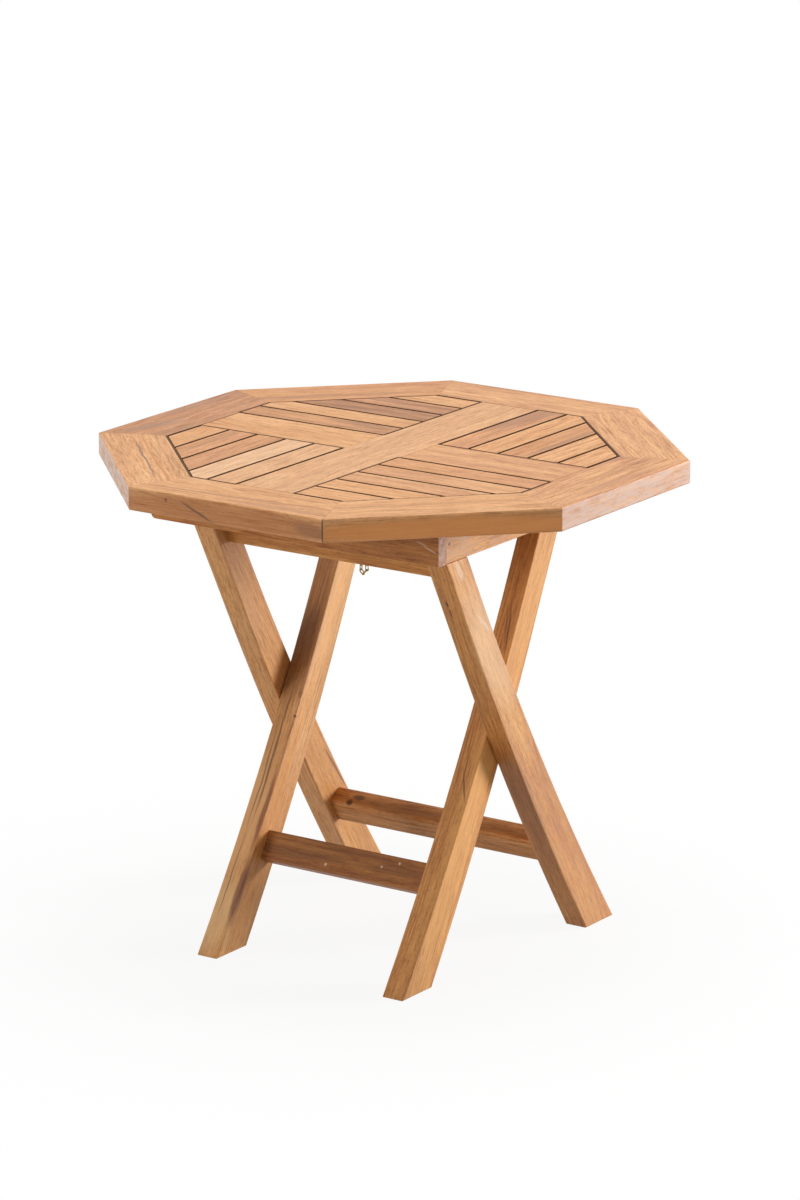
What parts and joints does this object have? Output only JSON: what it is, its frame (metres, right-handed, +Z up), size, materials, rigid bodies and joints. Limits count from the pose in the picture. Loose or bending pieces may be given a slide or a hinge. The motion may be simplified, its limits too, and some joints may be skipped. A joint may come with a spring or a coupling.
{
  "type": "folding garden table",
  "caption": "Folding wooden garden table: octagonal slatted top in a mitred frame, on two crossed leg frames that close like scissors, with a chain and hook lock.",
  "frame": {"origin": "on the floor under the middle of the octagonal top", "axes": "+Z up; X runs along the stretchers and the fold's axes; -Y is the side where the inner frame's feet stand"},
  "size_m": [0.8, 0.8, 0.735],
  "materials": {
    "teak": "oiled, fine sanded, lengthwise grain on each board",
    "brass": "satin",
    "steel": "satin"
  },
  "bodies": {
    "inner_frame": {"inner_leg_right": "teak", "inner_leg_left": "teak", "inner_stretcher": "teak", "pivot_pin_right": "brass", "pivot_pin_left": "brass", "pivot_washer_right": "brass", "pivot_washer_left": "brass"},
    "outer_frame": {"outer_leg_right": "teak", "outer_leg_left": "teak", "outer_stretcher": "teak", "outer_crossbar": "teak", "chain_eye": "brass"},
    "top": {"frame_board_right": "teak", "frame_board_back_right": "teak", "frame_board_back": "teak", "frame_board_back_left": "teak", "frame_board_left": "teak", "frame_board_front_left": "teak", "frame_board_front": "teak", "frame_board_front_right": "teak", "long_rail": "teak", "short_rail_right": "teak", "short_rail_left": "teak", "slat_back_left_1": "teak", "slat_back_left_2": "teak", "slat_back_left_3": "teak", "slat_back_left_4": "teak", "slat_back_left_5": "teak", "slat_back_right_1": "teak", "slat_back_right_2": "teak", "slat_back_right_3": "teak", "slat_back_right_4": "teak", "slat_back_right_5": "teak", "slat_front_left_1": "teak", "slat_front_left_2": "teak", "slat_front_left_3": "teak", "slat_front_left_4": "teak", "slat_front_left_5": "teak", "slat_front_right_1": "teak", "slat_front_right_2": "teak", "slat_front_right_3": "teak", "slat_front_right_4": "teak", "slat_front_right_5": "teak", "side_rail_right": "teak", "side_rail_left": "teak", "front_rail": "teak", "back_rail": "teak", "hinge_bolt_right": "steel", "hinge_bolt_left": "steel", "hinge_nut_right": "steel", "hinge_nut_left": "steel", "hinge_washer_right": "steel", "hinge_washer_left": "steel", "apron_screw_right": "steel", "apron_screw_left": "steel", "apron_screw_front": "steel", "apron_screw_back": "steel", "top_eye": "brass"},
    "lock_chain_hung": {"lock_chain": "brass", "lock_hook": "brass"}
  },
  "joints": [
    {"name": "scissor_fold", "type": "hinge", "parent": "inner_frame", "child": "outer_frame", "pos_m": [0, 0.003, 0.338], "axis": [-1, 0, 0], "range_deg": [0, 44]},
    {"name": "top_tilt", "type": "hinge", "parent": "inner_frame", "child": "top", "pos_m": [0, 0.16704, 0.671], "axis": [-1, 0, 0], "range_deg": [0, 30]},
    {"name": "chain_swing", "type": "hinge", "parent": "outer_frame", "child": "lock_chain_hung", "pos_m": [0, -0.11118, 0.6311], "axis": [1, 0, 0], "range_deg": [-8, 80]}
  ],
  "couplings": [
    {"joint": "top_tilt", "follows": "scissor_fold", "ratio": 0.68}
  ]
}
